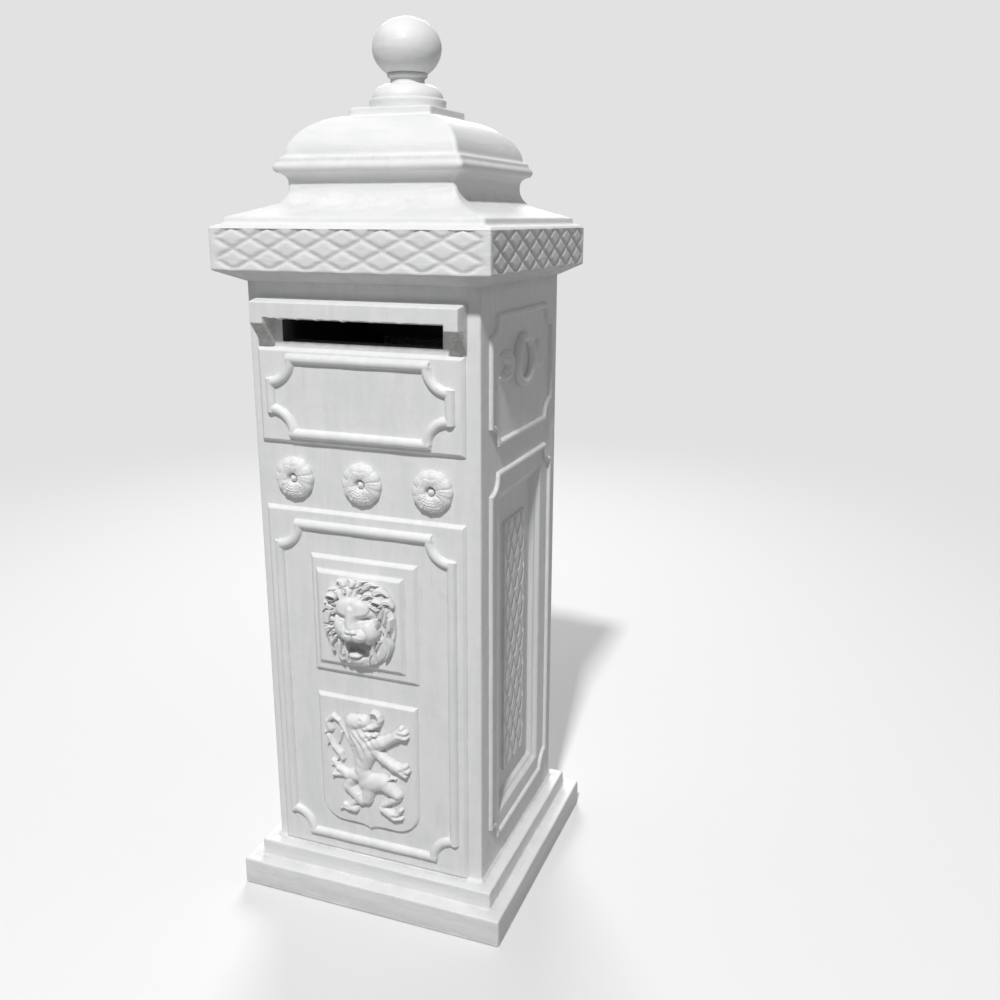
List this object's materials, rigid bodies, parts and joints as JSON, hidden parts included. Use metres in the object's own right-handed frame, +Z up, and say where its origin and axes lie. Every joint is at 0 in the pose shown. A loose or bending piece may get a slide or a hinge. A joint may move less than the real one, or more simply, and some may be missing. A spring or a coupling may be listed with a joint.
{
  "type": "freestanding pillar mailbox",
  "caption": "White cast pillar mailbox on a stepped base with a hooded letter slot, lion mask and shield plaques, moulded diamond-band cap, ball finial and a hinged rear door with a cam lock.",
  "frame": {"origin": "centre of the base's underside, where the mailbox stands on the ground", "axes": "+Z up, +X to the right seen from the front, the letter slot faces -Y"},
  "size_m": [0.4, 0.392, 1.1935],
  "materials": {
    "painted_casting": "brushed white masonry paint, satin",
    "painted_steel": "white enamel paint",
    "zinc_steel": "zinc plated",
    "lock_chrome": "nickel plated"
  },
  "bodies": {
    "mailbox": {"base_plinth": "painted_casting", "pillar": "painted_casting", "name_plate": "painted_casting", "rosette_left": "painted_casting", "rosette_centre": "painted_casting", "rosette_right": "painted_casting", "front_panel": "painted_casting", "lion_plate": "painted_casting", "lion_mask": "painted_casting", "lion_shield": "painted_casting", "side_motif_left": "painted_casting", "side_motif_right": "painted_casting", "lattice_panel_left": "painted_casting", "lattice_panel_right": "painted_casting", "cap": "painted_casting", "finial_dowel": "zinc_steel", "ball_finial": "painted_casting", "mail_shelf": "zinc_steel", "door_frame": "painted_steel", "frame_screws": "zinc_steel", "upper_frame_leaf": "painted_steel", "lower_frame_leaf": "painted_steel", "upper_hinge_pin": "zinc_steel", "lower_hinge_pin": "zinc_steel"},
    "door": {"door_panel": "painted_steel", "upper_door_leaf": "painted_steel", "lower_door_leaf": "painted_steel", "lock_body": "lock_chrome", "lock_nut": "zinc_steel"},
    "lock": {"lock_plug": "lock_chrome", "lock_cam": "zinc_steel", "cam_screw": "zinc_steel"}
  },
  "joints": [
    {"name": "door_hinge", "type": "hinge", "parent": "mailbox", "child": "door", "pos_m": [0.123, 0.157, 0.62], "axis": [0, 0, -1], "range_deg": [0, 110]},
    {"name": "lock_turn", "type": "hinge", "parent": "door", "child": "lock", "pos_m": [-0.088, 0.14, 0.62], "axis": [0, -1, 0], "range_deg": [0, 90]}
  ]
}
